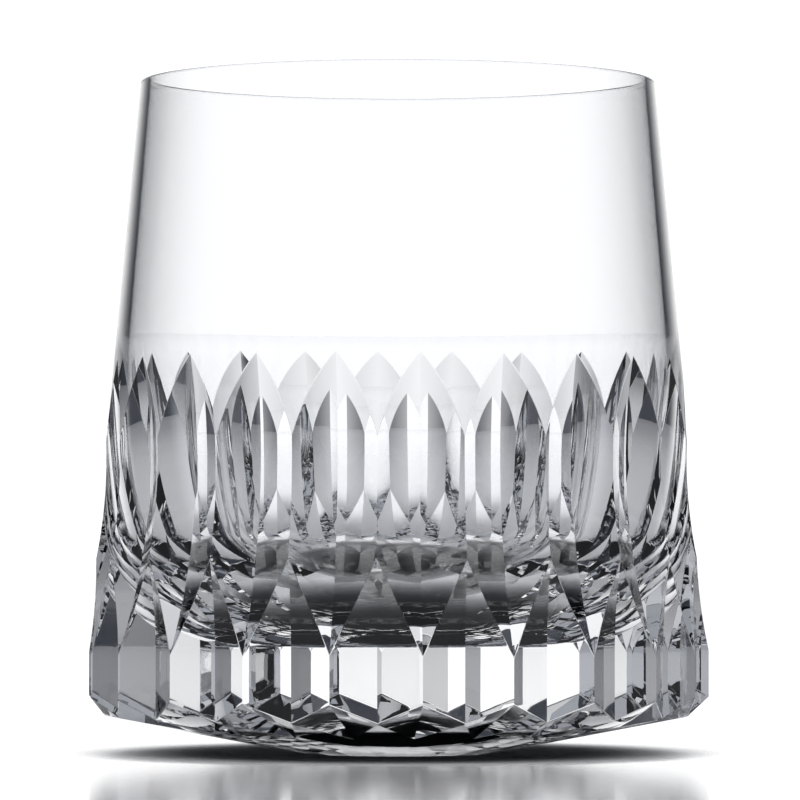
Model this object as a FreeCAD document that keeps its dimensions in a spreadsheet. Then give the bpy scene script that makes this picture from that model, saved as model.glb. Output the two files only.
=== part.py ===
import FreeCAD, Part
import math
import os
import Sketcher

# Cut crystal whiskey tumbler: one piece of clear lead crystal.
#
# The blank is a turned tumbler with a thick base: a plain wall that flares
# outwards on its way down, a rim ground flat with softened edges, and a bowl
# that swells to its widest a little above half height, then turns in through a
# long shoulder and a round corner to a flat floor. Four rounds of wheel work
# are then repeated about the axis:
#   leaves  upright V cuts, plunged with a mitre wheel, pointed at both ends
#   flutes  V cuts between the leaves that run straight down off the base
#   base    flat facets under each flute, rising outwards from the foot
#   notches V cuts under each leaf, which give the base its zigzag edge
# Frame: +Z up, origin at the centre of the flat foot. Lengths in millimetres,
# angles in degrees.

DIMENSIONS = {
    "overall_height": 100.0,
    "rim_outer_radius": 38.4,
    "blank_base_radius": 47.82,
    "rim_wall": 1.5,
    "rim_edge_radius": 0.25,
    "bowl_max_radius": 40.2,
    "bowl_shoulder_radius": 110.0,
    "bowl_shoulder_height": 55.2,
    "bowl_corner_radius": 20.0,
    "bowl_floor_height": 16.3,
    "cut_count": 22,
    "mitre_wheel_radius": 81.0,
    "mitre_wall_angle": 17.5,
    "mitre_half_width": 13.0,
    "mitre_depth": 9.0,
    "leaf_wheel_reach": 122.0,
    "leaf_wheel_height": 43.85,
    "flute_valley_radius": 43.7,
    "flute_shoulder_height": 15.0,
    "flute_run_out_angle": 20.0,
    "foot_apothem": 14.3,
    "base_facet_angle": 10.9,
    "notch_root_radius": 30.9,
    "notch_slope": 18.9,
    "notch_wall_angle": 14.1,
    "cutting_clearance": 30.0,
}

# Half the angle between two leaves: flutes and base facets sit midway between them.
HALF_PITCH = "180 deg / dims.cut_count"

doc = FreeCAD.newDocument("whiskey_tumbler")


def make_sheet():
    """Write the driving dimensions into a spreadsheet, one aliased cell each."""
    sheet = doc.addObject("Spreadsheet::Sheet", "dims")
    for row, (name, value) in enumerate(DIMENSIONS.items(), start=1):
        sheet.set(f"A{row}", name)
        sheet.set(f"B{row}", str(value))
        sheet.setAlias(f"B{row}", name)
    doc.recompute()
    return sheet


def origin_part(body, role):
    """Return the body's own origin plane or axis of that role."""
    return next(part for part in body.Origin.OriginFeatures if part.Role == role)


def attach(body, name, role, base=(), rotation_axis=None, angle=None):
    """Make a sketch on an origin plane, offset by expressions in that plane's own axes."""
    sketch = body.newObject("Sketcher::SketchObject", name)
    sketch.AttachmentSupport = [(origin_part(body, role), "")]
    sketch.MapMode = "FlatFace"
    if rotation_axis is not None:
        start = FreeCAD.Rotation(FreeCAD.Vector(*rotation_axis), 1.0)
        sketch.AttachmentOffset = FreeCAD.Placement(FreeCAD.Vector(), start)
        sketch.setExpression("AttachmentOffset.Rotation.Angle", angle)
    for letter, expression in zip("xyz", base):
        if expression:
            sketch.setExpression(f"AttachmentOffset.Base.{letter}", expression)
    return sketch


def bind(sketch, constraint, name, expression):
    """Add a driving constraint to a sketch and tie it to an expression."""
    index = sketch.addConstraint(constraint)
    sketch.renameConstraint(index, name)
    sketch.setExpression(f"Constraints.{name}", expression)


def line(sketch, start, end):
    """Add a straight edge between two (x, y) points and return its index."""
    first = FreeCAD.Vector(start[0], start[1], 0)
    second = FreeCAD.Vector(end[0], end[1], 0)
    return sketch.addGeometry(Part.LineSegment(first, second), False)


def arc(sketch, centre, radius, start, end):
    """Add an anticlockwise arc, with its angles in degrees, and return its index."""
    middle = FreeCAD.Vector(centre[0], centre[1], 0)
    circle = Part.Circle(middle, FreeCAD.Vector(0, 0, 1), radius)
    piece = Part.ArcOfCircle(circle, math.radians(start), math.radians(end))
    return sketch.addGeometry(piece, False)


def revolve_blank(body):
    """Turn the uncut tumbler: flared wall, flat rim, and a bowl with a shoulder and corner."""
    size = DIMENSIONS
    edge = size["rim_edge_radius"]
    top = size["overall_height"]
    edge_z = top - edge
    outer_x = size["rim_outer_radius"] - edge
    inner_x = size["rim_outer_radius"] - size["rim_wall"] + edge
    shoulder = size["bowl_shoulder_radius"]
    shoulder_x = size["bowl_max_radius"] - shoulder
    shoulder_z = size["bowl_shoulder_height"]
    corner = size["bowl_corner_radius"]
    floor_z = size["bowl_floor_height"]
    turn = math.asin((floor_z + corner - shoulder_z) / (shoulder - corner))
    corner_x = shoulder_x + (shoulder - corner) * math.cos(turn)
    wall = (size["bowl_max_radius"], shoulder_z)

    profile = attach(body, "blank_profile", "XZ_Plane")
    foot = line(profile, (0, 0), (size["blank_base_radius"], 0))
    outside = line(profile, (size["blank_base_radius"], 0), (outer_x + edge, edge_z))
    outer_edge = arc(profile, (outer_x, edge_z), edge, 5, 90)
    rim = line(profile, (outer_x, top), (inner_x, top))
    inner_edge = arc(profile, (inner_x, edge_z), edge, 90, 181)
    inside = line(profile, (inner_x - edge, edge_z), wall)
    swell = arc(profile, (shoulder_x, shoulder_z), shoulder, math.degrees(turn), 3)
    bend = arc(profile, (corner_x, floor_z + corner), corner, 270, 360 + math.degrees(turn))
    floor = line(profile, (corner_x, floor_z), (0, floor_z))
    axis = line(profile, (0, floor_z), (0, 0))

    joins = [(floor, 2, axis, 1), (axis, 2, foot, 1), (foot, 2, outside, 1)]
    for first, end, second, start in joins:
        profile.addConstraint(Sketcher.Constraint("Coincident", first, end, second, start))
    blends = [(outside, 2, outer_edge, 1), (outer_edge, 2, rim, 1), (rim, 2, inner_edge, 1),
              (inner_edge, 2, inside, 1), (inside, 2, swell, 2), (swell, 1, bend, 2),
              (bend, 1, floor, 1)]
    for first, end, second, start in blends:
        profile.addConstraint(Sketcher.Constraint("Tangent", first, end, second, start))
    profile.addConstraint(Sketcher.Constraint("Coincident", foot, 1, -1, 1))
    profile.addConstraint(Sketcher.Constraint("Horizontal", foot))
    profile.addConstraint(Sketcher.Constraint("Vertical", axis))
    profile.addConstraint(Sketcher.Constraint("Horizontal", floor))
    profile.addConstraint(Sketcher.Constraint("Horizontal", rim))
    profile.addConstraint(Sketcher.Constraint("Equal", outer_edge, inner_edge))

    bind(profile, Sketcher.Constraint("DistanceX", foot, 1, foot, 2, 1.0),
         "base_radius", "dims.blank_base_radius")
    bind(profile, Sketcher.Constraint("Radius", outer_edge, edge),
         "edge_radius", "dims.rim_edge_radius")
    bind(profile, Sketcher.Constraint("DistanceX", -1, 1, outer_edge, 3, outer_x),
         "rim_reach", "dims.rim_outer_radius - dims.rim_edge_radius")
    bind(profile, Sketcher.Constraint("DistanceX", rim, 2, rim, 1, outer_x - inner_x),
         "rim_flat", "dims.rim_wall - 2 * dims.rim_edge_radius")
    bind(profile, Sketcher.Constraint("DistanceY", -1, 1, rim, 1, top),
         "height", "dims.overall_height")
    bind(profile, Sketcher.Constraint("Radius", swell, shoulder),
         "shoulder_radius", "dims.bowl_shoulder_radius")
    bind(profile, Sketcher.Constraint("DistanceX", swell, 3, -1, 1, -shoulder_x),
         "shoulder_offset", "dims.bowl_shoulder_radius - dims.bowl_max_radius")
    bind(profile, Sketcher.Constraint("DistanceY", -1, 1, swell, 3, shoulder_z),
         "shoulder_height", "dims.bowl_shoulder_height")
    bind(profile, Sketcher.Constraint("Radius", bend, corner),
         "corner_radius", "dims.bowl_corner_radius")
    bind(profile, Sketcher.Constraint("DistanceY", -1, 1, floor, 1, floor_z),
         "floor_height", "dims.bowl_floor_height")
    doc.recompute()

    blank = body.newObject("PartDesign::Revolution", "blank")
    blank.Profile = profile
    blank.ReferenceAxis = (origin_part(body, "Z_Axis"), [""])
    blank.Angle = 360.0
    doc.recompute()
    return blank


def closed_outline(sketch, corners):
    """Join corners, given as (x, y) pairs, into a closed outline of straight edges."""
    edges = [line(sketch, corner, corners[(index + 1) % len(corners)])
             for index, corner in enumerate(corners)]
    for index, edge in enumerate(edges):
        following = edges[(index + 1) % len(edges)]
        sketch.addConstraint(Sketcher.Constraint("Coincident", edge, 2, following, 1))
    return edges


def mitre_profile(sketch, wall_angle, reach=0.0):
    """Draw the mitre wheel's edge: a V with its point at x = -reach, opening towards +x."""
    width = DIMENSIONS["mitre_half_width"]
    depth = DIMENSIONS["mitre_depth"]
    rise = width * math.tan(math.radians(DIMENSIONS[wall_angle]))
    wall, side, back, far_side, far_wall = closed_outline(sketch, [
        (-reach, 0), (rise - reach, width), (depth - reach, width),
        (depth - reach, -width), (rise - reach, -width)])
    for edge in (side, far_side):
        sketch.addConstraint(Sketcher.Constraint("Horizontal", edge))
    sketch.addConstraint(Sketcher.Constraint("Vertical", back))
    sketch.addConstraint(Sketcher.Constraint("Symmetric", wall, 2, far_wall, 1, -1))
    if reach:
        sketch.addConstraint(Sketcher.Constraint("PointOnObject", wall, 1, -1))
        bind(sketch, Sketcher.Constraint("DistanceX", wall, 1, -1, 1, reach),
             "wheel_radius", "dims.mitre_wheel_radius")
    else:
        sketch.addConstraint(Sketcher.Constraint("Coincident", wall, 1, -1, 1))
    bind(sketch, Sketcher.Constraint("DistanceY", wall, 1, wall, 2, width),
         "half_width", "dims.mitre_half_width")
    bind(sketch, Sketcher.Constraint("DistanceX", wall, 1, wall, 2, rise),
         "wall_rise", f"dims.mitre_half_width * tan(dims.{wall_angle} * 1 deg)")
    bind(sketch, Sketcher.Constraint("DistanceX", wall, 1, back, 1, depth),
         "mouth_depth", "dims.mitre_depth")
    doc.recompute()


def feature(body, kind, name, profile):
    """Add a sketch-based PartDesign feature."""
    item = body.newObject(f"PartDesign::{kind}", name)
    item.Profile = profile
    return item


def around(body, name, originals):
    """Repeat features about the tumbler's axis, once for each cut."""
    pattern = body.newObject("PartDesign::PolarPattern", name)
    pattern.Originals = originals
    pattern.Axis = (origin_part(body, "Z_Axis"), [""])
    pattern.Angle = 360.0
    pattern.setExpression("Occurrences", "dims.cut_count")
    body.Tip = pattern
    return pattern


def cut_base_facets(body):
    """Cut one flat facet under each flute, rising outwards from the foot."""
    size = DIMENSIONS
    start = size["foot_apothem"]
    run = 2 * size["cutting_clearance"]
    rise = run * math.tan(math.radians(size["base_facet_angle"]))
    below = size["cutting_clearance"]
    profile = attach(body, "base_facet_profile", "XZ_Plane",
                     rotation_axis=(0, 1, 0), angle=HALF_PITCH)
    slope, outer, under, inner = closed_outline(profile, [
        (start, 0), (start + run, rise), (start + run, -below), (start, -below)])
    for edge in (outer, inner):
        profile.addConstraint(Sketcher.Constraint("Vertical", edge))
    profile.addConstraint(Sketcher.Constraint("Horizontal", under))
    profile.addConstraint(Sketcher.Constraint("PointOnObject", slope, 1, -1))
    bind(profile, Sketcher.Constraint("DistanceX", -1, 1, slope, 1, start),
         "foot_apothem", "dims.foot_apothem")
    bind(profile, Sketcher.Constraint("DistanceX", slope, 1, slope, 2, run),
         "run", "2 * dims.cutting_clearance")
    bind(profile, Sketcher.Constraint("DistanceY", slope, 1, slope, 2, rise),
         "rise", "2 * dims.cutting_clearance * tan(dims.base_facet_angle * 1 deg)")
    bind(profile, Sketcher.Constraint("DistanceY", outer, 2, -1, 1, below),
         "skirt", "dims.cutting_clearance")
    doc.recompute()

    facet = feature(body, "Pocket", "base_facet", profile)
    facet.Type = "Length"
    facet.Midplane = True
    facet.setExpression("Length", "4 * dims.cutting_clearance")
    return around(body, "base_facets", [facet])


def cut_notches(body):
    """Cut one V notch under each leaf, from the facets' shared edge out through the side."""
    root_height = ("(dims.notch_root_radius * cos(180 deg / dims.cut_count)"
                   " - dims.foot_apothem) * tan(dims.base_facet_angle * 1 deg)")
    profile = attach(body, "notch_profile", "XY_Plane",
                     base=("dims.notch_root_radius", None, root_height),
                     rotation_axis=(0, 1, 0), angle="90 deg - dims.notch_slope * 1 deg")
    mitre_profile(profile, "notch_wall_angle")
    notch = feature(body, "Pocket", "notch", profile)
    notch.Type = "Length"
    notch.Reversed = True
    notch.setExpression("Length", "dims.cutting_clearance")
    return around(body, "notches", [notch])


def cut_flutes(body):
    """Cut one flute between each pair of leaves: a straight V that the wheel runs out of."""
    reach = "(dims.flute_valley_radius + dims.mitre_wheel_radius)"
    profile = attach(body, "flute_profile", "XY_Plane",
                     base=(f"{reach} * cos({HALF_PITCH})", f"{reach} * sin({HALF_PITCH})",
                           "dims.flute_shoulder_height"),
                     rotation_axis=(0, 0, 1), angle=HALF_PITCH)
    mitre_profile(profile, "mitre_wall_angle", DIMENSIONS["mitre_wheel_radius"])
    run_out = feature(body, "Groove", "flute_run_out", profile)
    run_out.ReferenceAxis = (profile, ["V_Axis"])
    run_out.setExpression("Angle", "dims.flute_run_out_angle * 1 deg")
    doc.recompute()
    flute = feature(body, "Pocket", "flute", profile)
    flute.Type = "Length"
    flute.setExpression("Length", "dims.cutting_clearance")
    return around(body, "flutes", [run_out, flute])


def cut_leaves(body):
    """Plunge the mitre wheel into the side once for each leaf."""
    profile = attach(body, "leaf_profile", "XY_Plane",
                     base=("dims.leaf_wheel_reach", None, "dims.leaf_wheel_height"))
    mitre_profile(profile, "mitre_wall_angle", DIMENSIONS["mitre_wheel_radius"])
    leaf = feature(body, "Groove", "leaf", profile)
    leaf.ReferenceAxis = (profile, ["V_Axis"])
    leaf.Angle = 360.0
    return around(body, "leaves", [leaf])


def volume_of(body):
    """Return the volume of the body as built so far, in cubic millimetres."""
    doc.recompute()
    return body.Shape.Volume


def make_tumbler():
    """Build the tumbler, and check that every round of cutting takes glass away."""
    body = doc.addObject("PartDesign::Body", "tumbler")
    body.Label = "tumbler"
    body.Placement = FreeCAD.Placement()
    doc.recompute()
    revolve_blank(body)
    left = volume_of(body)
    print(f"blank: {left:.0f} mm3")
    for cut in (cut_base_facets, cut_notches, cut_flutes, cut_leaves):
        cut(body)
        after = volume_of(body)
        print(f"{cut.__name__}: {after:.0f} mm3")
        if not 0 < after < left:
            raise RuntimeError(f"{cut.__name__} took no glass away")
        left = after
    return body


def check_and_export(bodies):
    """Stop on any failed object or bad shape, then write one STEP file for each body."""
    failed = [item.Name for item in doc.Objects
              if "Invalid" in item.State or "Error" in item.State]
    if failed:
        raise RuntimeError(f"failed objects: {failed}")
    for body in bodies:
        if body.Shape.isNull() or not body.Shape.isValid() or len(body.Shape.Solids) != 1:
            raise RuntimeError(f"{body.Label} is not one valid solid")
    os.makedirs("parts", exist_ok=True)
    for body in bodies:
        body.Shape.exportStep(os.path.join("parts", f"{body.Label}.step"))
        print(f"{body.Label}: {len(body.Shape.Faces)} faces, {body.Shape.BoundBox}")


make_sheet()
check_and_export([make_tumbler()])
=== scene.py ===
import math

import bmesh
import bpy
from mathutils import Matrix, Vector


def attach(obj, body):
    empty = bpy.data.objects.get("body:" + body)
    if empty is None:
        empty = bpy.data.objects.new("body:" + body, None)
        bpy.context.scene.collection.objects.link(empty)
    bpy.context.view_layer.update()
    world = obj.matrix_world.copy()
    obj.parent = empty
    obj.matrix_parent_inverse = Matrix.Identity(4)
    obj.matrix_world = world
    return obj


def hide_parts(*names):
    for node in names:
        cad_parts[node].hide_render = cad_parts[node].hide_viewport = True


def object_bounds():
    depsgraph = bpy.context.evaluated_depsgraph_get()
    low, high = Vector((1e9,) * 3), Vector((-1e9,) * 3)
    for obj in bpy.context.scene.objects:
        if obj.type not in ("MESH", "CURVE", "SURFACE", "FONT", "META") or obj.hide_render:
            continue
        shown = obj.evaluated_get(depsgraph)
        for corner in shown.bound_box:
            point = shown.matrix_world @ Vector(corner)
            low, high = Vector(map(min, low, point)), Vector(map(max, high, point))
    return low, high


# Cut crystal whiskey tumbler. The frame's one node is replaced by one fine mesh of the same
# shape, worked out from the same driving dimensions. Polishing has softened the edges where
# one round of cuts meets the next, but the upright lines along the middle of each cut stay
# crisp. The leaf cuts wander a little, as cuts made by hand do. Lengths are in metres.

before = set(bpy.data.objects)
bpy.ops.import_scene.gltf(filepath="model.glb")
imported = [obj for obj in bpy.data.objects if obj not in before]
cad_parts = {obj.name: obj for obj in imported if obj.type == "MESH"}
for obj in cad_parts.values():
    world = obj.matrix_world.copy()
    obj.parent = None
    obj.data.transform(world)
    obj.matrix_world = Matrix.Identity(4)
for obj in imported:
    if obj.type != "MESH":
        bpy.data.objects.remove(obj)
cad_low, cad_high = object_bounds()

MM = 0.001
QUARTER_TURN = math.pi / 2

# Blank
HEIGHT = cad_high.z - cad_low.z
RIM_RADIUS = 38.4 * MM
RIM_WALL = 1.5 * MM
RIM_EDGE = 0.4 * MM
BASE_RADIUS = 47.82 * MM
BOWL_MAX = 40.2 * MM
SHOULDER_RADIUS = 110 * MM
SHOULDER_HEIGHT = 55.2 * MM
CORNER_RADIUS = 20 * MM
BOWL_FLOOR = 16.3 * MM

# Wheel cuts
CUTS = 22
HALF_PITCH = math.pi / CUTS
WHEEL = 81 * MM
WHEEL_WALL = math.tan(math.radians(17.5))
LEAF_REACH = 122 * MM
LEAF_HEIGHT = 43.85 * MM
FLUTE_VALLEY = 43.7 * MM
FLUTE_SHOULDER = 15 * MM
FOOT_APOTHEM = 14.3 * MM
FACET_SLOPE = math.tan(math.radians(10.9))
NOTCH_ROOT = 30.9 * MM
NOTCH_ANGLE = math.radians(18.9)
NOTCH_WALL = math.tan(math.radians(14.1))

# Heights, and for the notch radii, between which neighbouring surfaces meet, and how often
# the interval is halved to find the place
LEAF_TOP_RANGE = (62 * MM, 38 * MM)
LEAF_FOOT_RANGE = (36 * MM, 12 * MM)
NOTCH_FOOT_RANGE = (25 * MM, 46 * MM)
HALVINGS = 50

# Finish: how far polishing rounds an edge, at most as a share of the way to the next point,
# and how far hand work strays. The stray is two waves round the tumbler, each with its number
# of cycles, start angle and share.
EDGE_CUTBACK = 0.16 * MM
LARGEST_CUTBACK = 0.45
WANDER = 0.3 * MM
STRAY_WAVES = ((3, 0.7, 1.0), (8, 2.1, 0.6))

# Mesh: steps in each span of a column, and columns from the middle of a leaf to a flute's
OUTER_STEPS = {"wall": 6, "leaf": 34, "flute": 14, "notch": 4, "facet": 5, "foot": 3}
INNER_STEPS = {"wall": 5, "shoulder": 26, "corner": 34, "floor": 5}
SOFT_STEPS = 4
COLUMN_STEPS = 10
MERGE_DISTANCE = 0.0005 * MM

# Crystal: as the noise goes from HAZE_NOISE's low to its high, roughness goes from 0 to
# HAZE_ROUGHNESS
CRYSTAL_TINT = (0.985, 0.99, 1.0, 1)
CRYSTAL_IOR = 1.545
HAZE_SCALE = 400
HAZE_DETAIL = 3
HAZE_NOISE = (0.45, 0.8)
HAZE_ROUGHNESS = 0.03
WAVE_SCALE = 160
WAVE_DETAIL = 2
WAVE_STRENGTH = 0.07
WAVE_DEPTH = 0.05 * MM

# Floor: the distances from the axis over which the painted shadow, a dark patch painted on the floor
# under the tumbler where its shade falls, gives way to paper, and the matte patch around the foot
# turns satin
FLOOR_SIZE = 16
# Painted shadow: a dark colour painted on the floor under the tumbler, where its shade falls
PAINTED_SHADOW = (0.025, 0.027, 0.032, 1)
PAINTED_SHADOW_EDGE = (0.022, 0.036)
PAPER = (0.8, 0.8, 0.81, 1)
MATTE_EDGE = (0.03, 0.052)
FLOOR_ROUGH = 0.12
FLOOR_MIRROR = 0.5

# Studio: where the panel behind and the flags beside it fade, in degrees to the side of the
# view's axis, and where the panel's top fades, in degrees above the horizon
PANEL = (1.18, 1.18, 1.18, 1)
PANEL_EDGE = (3, 34)
PANEL_TOP = (25, 45)
FLAG = (0.028, 0.032, 0.042, 1)
FLAG_EDGE = (66, 86)
ROOM = (0.32, 0.335, 0.365, 1)
OVERHEAD = 3.8
OVERHEAD_SPREAD = math.radians(130)
LIGHT_BOUNCES = 32

# Camera: its lens is in widths of the sensor
VIEW_AZIMUTH = math.radians(3.78)
CAMERA_DISTANCE = 0.786
CAMERA_HEIGHT = 0.0312
CAMERA_PITCH = math.radians(1.554)
CAMERA_LENS = 6.59
CAMERA_SHIFT = 0.0029


def outer_lean():
    """Return the angle from the vertical at which the outside wall leans in."""
    run = RIM_RADIUS - RIM_EDGE - BASE_RADIUS
    rise = HEIGHT - RIM_EDGE
    return math.atan2(-run, rise) - math.asin(RIM_EDGE / math.hypot(run, rise))


def wall_radius(z):
    """Return the radius of the plain outside wall at a height."""
    return BASE_RADIUS - z * math.tan(outer_lean())


def wheel_cut(turn, z, reach, height):
    """Return the radius at which a mitre wheel's V cut stands, at an angle from the cut's middle."""
    side = math.sin(turn) * WHEEL_WALL
    a = math.cos(turn) ** 2 - side ** 2
    b = reach * math.cos(turn) - WHEEL * side
    c = reach ** 2 + (z - height) ** 2 - WHEEL ** 2
    return (b - math.sqrt(max(b * b - a * c, 0))) / a


def leaf_radius(turn, z, strayed):
    """Return the radius of the leaf cut."""
    return wheel_cut(turn, z, LEAF_REACH, LEAF_HEIGHT + strayed)


def flute_radius(turn, z):
    """Return the radius of the flute: a straight V below its shoulder, the wheel's arc above."""
    across = HALF_PITCH - turn
    if z <= FLUTE_SHOULDER:
        return FLUTE_VALLEY / (math.cos(across) - math.sin(across) * WHEEL_WALL)
    return wheel_cut(across, z, FLUTE_VALLEY + WHEEL, FLUTE_SHOULDER)


def facet_height(turn, radius):
    """Return the height of the flat facet under a flute."""
    return (radius * math.cos(HALF_PITCH - turn) - FOOT_APOTHEM) * FACET_SLOPE


def notch_height(turn, radius):
    """Return the height of the V notch under a leaf."""
    root = (NOTCH_ROOT * math.cos(HALF_PITCH) - FOOT_APOTHEM) * FACET_SLOPE
    along = (radius * math.cos(turn) - NOTCH_ROOT) * math.tan(NOTCH_ANGLE)
    return root + along - radius * math.sin(turn) * NOTCH_WALL / math.cos(NOTCH_ANGLE)


def crossing(difference, low, high):
    """Return where a difference of two surfaces changes sign, by halving the interval."""
    low_side = difference(low) > 0
    for _ in range(HALVINGS):
        middle = (low + high) / 2
        if (difference(middle) > 0) == low_side:
            low = middle
        else:
            high = middle
    return (low + high) / 2


def blend(start, end, share):
    """Return the value that lies the given share of the way from start to end."""
    return start + (end - start) * share


def softened(corners, spans):
    """Join spans of (radius, height) points, and round the corner where two spans meet."""
    points = list(spans[0])
    for corner, span in zip(corners, spans[1:]):
        cuts = []
        for near in (points[-1], span[0]):
            gap = math.hypot(near[0] - corner[0], near[1] - corner[1])
            share = min(EDGE_CUTBACK / gap, LARGEST_CUTBACK) if gap > 0 else 0
            cuts.append([blend(c, n, share) for c, n in zip(corner, near)])
        for step in range(SOFT_STEPS + 1):
            t = step / SOFT_STEPS
            points.append([(1 - t) ** 2 * a + 2 * t * (1 - t) * c + t * t * b
                           for a, c, b in zip(cuts[0], corner, cuts[1])])
        points.extend(span)
    return points


def outer_column(turn, strayed):
    """Return one column of (radius, height) points, from under the rim to near the foot's centre."""
    top = HEIGHT - RIM_EDGE + RIM_EDGE * math.sin(outer_lean())
    leaf_top = crossing(lambda z: leaf_radius(turn, z, strayed) - wall_radius(z),
                        *LEAF_TOP_RANGE)
    leaf_foot = crossing(lambda z: leaf_radius(turn, z, strayed) - flute_radius(turn, z),
                         *LEAF_FOOT_RANGE)
    crest_radius = flute_radius(turn, 0)
    crest = notch_height(turn, crest_radius)
    notch_foot = crossing(lambda r: notch_height(turn, r) - facet_height(turn, r),
                          *NOTCH_FOOT_RANGE)
    notch_foot = min(notch_foot, crest_radius)
    foot = FOOT_APOTHEM / math.cos(HALF_PITCH - turn)
    surfaces = {
        "wall": (top, leaf_top, lambda z: (wall_radius(z), z)),
        "leaf": (leaf_top, leaf_foot, lambda z: (leaf_radius(turn, z, strayed), z)),
        "flute": (leaf_foot, crest, lambda z: (flute_radius(turn, z), z)),
        "notch": (crest_radius, notch_foot, lambda r: (r, notch_height(turn, r))),
        "facet": (notch_foot, foot, lambda r: (r, facet_height(turn, r))),
        "foot": (foot, 0, lambda r: (r, 0)),
    }
    corners, spans = [], []
    for name, (start, end, surface) in surfaces.items():
        steps = OUTER_STEPS[name]
        first = 0 if name == "wall" else 1
        spans.append([surface(blend(start, end, step / steps)) for step in range(first, steps)])
        corners.append(surface(start))
    return softened(corners[1:], spans)


def on_arc(centre, radius, angle):
    """Return the point of an arc at an angle."""
    return (centre[0] + radius * math.cos(angle), centre[1] + radius * math.sin(angle))


def arc_points(centre, radius, start, end, steps):
    """Return points on an arc, without its last one."""
    return [on_arc(centre, radius, blend(start, end, step / steps)) for step in range(steps)]


def inner_column():
    """Return the (radius, height) points over the flat rim, down the bowl and along its floor."""
    edge_height = HEIGHT - RIM_EDGE
    outer_edge = (RIM_RADIUS - RIM_EDGE, edge_height)
    inner_edge = (RIM_RADIUS - RIM_WALL + RIM_EDGE, edge_height)
    swell = (BOWL_MAX - SHOULDER_RADIUS, SHOULDER_HEIGHT)
    run, rise = inner_edge[0] - swell[0], inner_edge[1] - swell[1]
    lean = math.atan2(rise, run) - math.acos((RIM_EDGE + SHOULDER_RADIUS) / math.hypot(run, rise))
    turn_in = math.asin((BOWL_FLOOR + CORNER_RADIUS - SHOULDER_HEIGHT)
                        / (SHOULDER_RADIUS - CORNER_RADIUS))
    corner = (swell[0] + (SHOULDER_RADIUS - CORNER_RADIUS) * math.cos(turn_in),
              BOWL_FLOOR + CORNER_RADIUS)
    points = arc_points(outer_edge, RIM_EDGE, outer_lean(), QUARTER_TURN, SOFT_STEPS)[1:]
    points += arc_points(inner_edge, RIM_EDGE, QUARTER_TURN, math.pi + lean, SOFT_STEPS)
    top = on_arc(inner_edge, RIM_EDGE, math.pi + lean)
    bottom = on_arc(swell, SHOULDER_RADIUS, lean)
    steps = INNER_STEPS["wall"]
    points += [[blend(a, b, step / steps) for a, b in zip(top, bottom)] for step in range(steps)]
    points += arc_points(swell, SHOULDER_RADIUS, lean, turn_in, INNER_STEPS["shoulder"])
    points += arc_points(corner, CORNER_RADIUS, turn_in, -QUARTER_TURN, INNER_STEPS["corner"])
    steps = INNER_STEPS["floor"]
    points += [(blend(corner[0], 0, step / steps), BOWL_FLOOR) for step in range(steps)]
    return points


def stray(angle):
    """Return how far a hand-cut leaf stands above or below its mark, round the tumbler."""
    height = sum(share * math.sin(cycles * angle + start) for cycles, start, share in STRAY_WAVES)
    return WANDER * height / sum(share for _, _, share in STRAY_WAVES)


def all_columns():
    """Return (angle, outer column) pairs for the whole tumbler, anticlockwise."""
    columns = []
    for index in range(2 * CUTS * COLUMN_STEPS):
        within = index % (2 * COLUMN_STEPS)
        turn = HALF_PITCH * min(within, 2 * COLUMN_STEPS - within) / COLUMN_STEPS
        place = HALF_PITCH * index / COLUMN_STEPS
        columns.append((place, outer_column(turn, stray(place))))
    return columns


def make_glass():
    """Make the tumbler as one closed grid: rings over the outside, the rim and the bowl."""
    columns = all_columns()
    inner = inner_column()
    mesh = bmesh.new()
    strips = []
    for place, outer in columns:
        across, along = math.cos(place), math.sin(place)
        profile = list(reversed(outer)) + inner
        strips.append([mesh.verts.new((r * across, r * along, z)) for r, z in profile])
    foot = mesh.verts.new((0, 0, 0))
    bowl = mesh.verts.new((0, 0, BOWL_FLOOR))
    for index, strip in enumerate(strips):
        following = strips[(index + 1) % len(strips)]
        mesh.faces.new((foot, following[0], strip[0]))
        for ring in range(len(strip) - 1):
            mesh.faces.new((strip[ring], following[ring], following[ring + 1], strip[ring + 1]))
        mesh.faces.new((bowl, strip[-1], following[-1]))
    # The middle line of every leaf and flute is a crease, as far up as the cuts reach.
    cut_rings = len(columns[0][1]) - OUTER_STEPS["wall"]
    for strip in strips[::COLUMN_STEPS]:
        for lower, upper in zip(strip[:cut_rings], strip[1:cut_rings]):
            mesh.edges.get((lower, upper)).smooth = False
    bmesh.ops.remove_doubles(mesh, verts=mesh.verts, dist=MERGE_DISTANCE)
    bmesh.ops.recalc_face_normals(mesh, faces=mesh.faces)
    for face in mesh.faces:
        face.smooth = True
    data = bpy.data.meshes.new("crystal_tumbler")
    mesh.to_mesh(data)
    mesh.free()
    glass = bpy.data.objects.new("crystal_tumbler", data)
    bpy.context.scene.collection.objects.link(glass)
    flats = glass.modifiers.new("flats_stay_flat", "WEIGHTED_NORMAL")
    flats.keep_sharp = True
    return glass


def new_material(name):
    """Return a new material, its node tree and its Principled shader."""
    material = bpy.data.materials.new(name)
    material.use_nodes = True
    return material, material.node_tree, material.node_tree.nodes["Principled BSDF"]


def noise(tree, scale, detail):
    """Add a noise texture on object coordinates and return its value."""
    place = tree.nodes.new("ShaderNodeTexCoord")
    texture = tree.nodes.new("ShaderNodeTexNoise")
    texture.inputs["Scale"].default_value = scale
    texture.inputs["Detail"].default_value = detail
    tree.links.new(place.outputs["Object"], texture.inputs["Vector"])
    return texture.outputs["Fac"]


def mapped(tree, value, low, high, to_low, to_high):
    """Map a value between two ranges with a smooth step, and return the result."""
    step = tree.nodes.new("ShaderNodeMapRange")
    step.interpolation_type = "SMOOTHSTEP"
    step.inputs["From Min"].default_value = low
    step.inputs["From Max"].default_value = high
    step.inputs["To Min"].default_value = to_low
    step.inputs["To Max"].default_value = to_high
    tree.links.new(value, step.inputs["Value"])
    return step.outputs["Result"]


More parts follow.
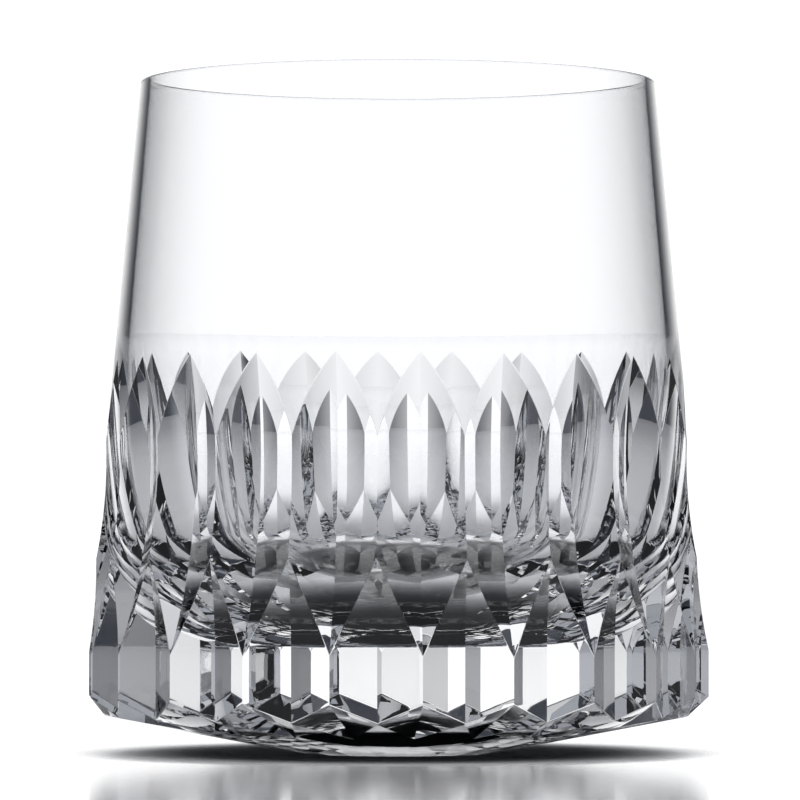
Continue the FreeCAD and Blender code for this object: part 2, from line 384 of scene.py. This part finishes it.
def value_node(tree, operation, first, second=0.0):
    """Add a math node and return its result."""
    node = tree.nodes.new("ShaderNodeMath")
    node.operation = operation
    for socket, value in zip(node.inputs, (first, second)):
        if isinstance(value, (int, float)):
            socket.default_value = value
        else:
            tree.links.new(value, socket)
    return node.outputs[0]


def mixed(tree, share, first, second):
    """Mix two colours, each a socket or four numbers, and return the result."""
    node = tree.nodes.new("ShaderNodeMix")
    node.data_type = "RGBA"
    tree.links.new(share, node.inputs["Factor"])
    for name, colour in (("A", first), ("B", second)):
        if isinstance(colour, tuple):
            node.inputs[name].default_value = colour
        else:
            tree.links.new(colour, node.inputs[name])
    return node.outputs["Result"]


def crystal():
    """Lead crystal: clear, with faint polishing haze and the slight waviness of acid polish."""
    material, tree, shader = new_material("lead_crystal")
    shader.inputs["Base Color"].default_value = CRYSTAL_TINT
    shader.inputs["Transmission Weight"].default_value = 1.0
    shader.inputs["IOR"].default_value = CRYSTAL_IOR
    haze = mapped(tree, noise(tree, HAZE_SCALE, HAZE_DETAIL), *HAZE_NOISE, 0.0, HAZE_ROUGHNESS)
    tree.links.new(haze, shader.inputs["Roughness"])
    waves = tree.nodes.new("ShaderNodeBump")
    waves.inputs["Strength"].default_value = WAVE_STRENGTH
    waves.inputs["Distance"].default_value = WAVE_DEPTH
    tree.links.new(noise(tree, WAVE_SCALE, WAVE_DETAIL), waves.inputs["Height"])
    tree.links.new(waves.outputs["Normal"], shader.inputs["Normal"])
    return material


def make_floor():
    """Lay a plain pale satin floor, with a painted shadow, dark and matte, just under the tumbler.
    """
    bpy.ops.mesh.primitive_plane_add(size=FLOOR_SIZE)
    floor = bpy.context.object
    floor.name = "studio_floor"
    material, tree, shader = new_material("pale_satin")
    place = tree.nodes.new("ShaderNodeTexCoord")
    away = tree.nodes.new("ShaderNodeVectorMath")
    away.operation = "LENGTH"
    tree.links.new(place.outputs["Object"], away.inputs[0])
    distance = away.outputs["Value"]
    # Painted shadow: the floor's colour goes dark under the tumbler, where its shade falls, and pale
    # paper further out
    paper_and_painted_shadow = mixed(tree, mapped(tree, distance, *PAINTED_SHADOW_EDGE, 0.0, 1.0), PAINTED_SHADOW, PAPER)
    tree.links.new(paper_and_painted_shadow, shader.inputs["Base Color"])
    shine = mapped(tree, distance, *MATTE_EDGE, 0.0, FLOOR_MIRROR)
    tree.links.new(shine, shader.inputs["Metallic"])
    rough = mapped(tree, distance, *MATTE_EDGE, 1.0, FLOOR_ROUGH)
    tree.links.new(rough, shader.inputs["Roughness"])
    floor.data.materials.append(material)
    return floor


def make_surround(view_azimuth):
    """Surround the glass: a bright panel straight behind, a dark flag each side, a grey room."""
    world = bpy.data.worlds.new("studio")
    bpy.context.scene.world = world
    world.use_nodes = True
    tree = world.node_tree
    place = tree.nodes.new("ShaderNodeTexCoord")
    axes = tree.nodes.new("ShaderNodeSeparateXYZ")
    tree.links.new(place.outputs["Generated"], axes.inputs[0])
    behind = value_node(tree, "ARCTAN2", axes.outputs["X"], axes.outputs["Y"])
    off = value_node(tree, "ABSOLUTE", value_node(tree, "ADD", behind, view_azimuth))
    off = value_node(tree, "MULTIPLY", off, math.degrees(1))
    height = value_node(tree, "ARCSINE", axes.outputs["Z"])
    height = value_node(tree, "MULTIPLY", height, math.degrees(1))
    panel = value_node(tree, "MULTIPLY", mapped(tree, off, *PANEL_EDGE, 1.0, 0.0),
                       mapped(tree, height, *PANEL_TOP, 1.0, 0.0))
    room = mapped(tree, off, *FLAG_EDGE, 0.0, 1.0)
    colour = mixed(tree, panel, mixed(tree, room, FLAG, ROOM), PANEL)
    tree.links.new(colour, tree.nodes["Background"].inputs["Color"])


def make_overhead():
    """Hang one very soft light straight above, which doesn't show in the glass."""
    data = bpy.data.lights.new("overhead", "SUN")
    data.energy = OVERHEAD
    data.angle = OVERHEAD_SPREAD
    lamp = bpy.data.objects.new("overhead", data)
    lamp.location = (0, 0, 1)
    lamp.visible_transmission = False
    lamp.visible_glossy = False
    bpy.context.scene.collection.objects.link(lamp)


def make_camera(view_azimuth):
    """Stand a long-lens camera low in front of the tumbler, turned a little off a flute."""
    data = bpy.data.cameras.new("photo_camera")
    data.lens = CAMERA_LENS * data.sensor_width
    data.shift_x = CAMERA_SHIFT
    camera = bpy.data.objects.new("photo_camera", data)
    camera.location = (CAMERA_DISTANCE * math.sin(view_azimuth),
                       -CAMERA_DISTANCE * math.cos(view_azimuth), CAMERA_HEIGHT)
    camera.rotation_euler = (QUARTER_TURN + CAMERA_PITCH, 0, view_azimuth)
    bpy.context.scene.collection.objects.link(camera)
    bpy.context.scene.camera = camera


glass = make_glass()
glass.data.materials.append(crystal())
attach(glass, "root")
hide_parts("tumbler")

floor = make_floor()
make_surround(VIEW_AZIMUTH)
make_overhead()
make_camera(VIEW_AZIMUTH)
bpy.context.scene.view_settings.view_transform = "Standard"
bpy.context.scene.cycles.max_bounces = LIGHT_BOUNCES
bpy.context.scene.cycles.transmission_bounces = LIGHT_BOUNCES
bpy.context.scene.cycles.caustics_refractive = False
bpy.context.scene.cycles.caustics_reflective = False
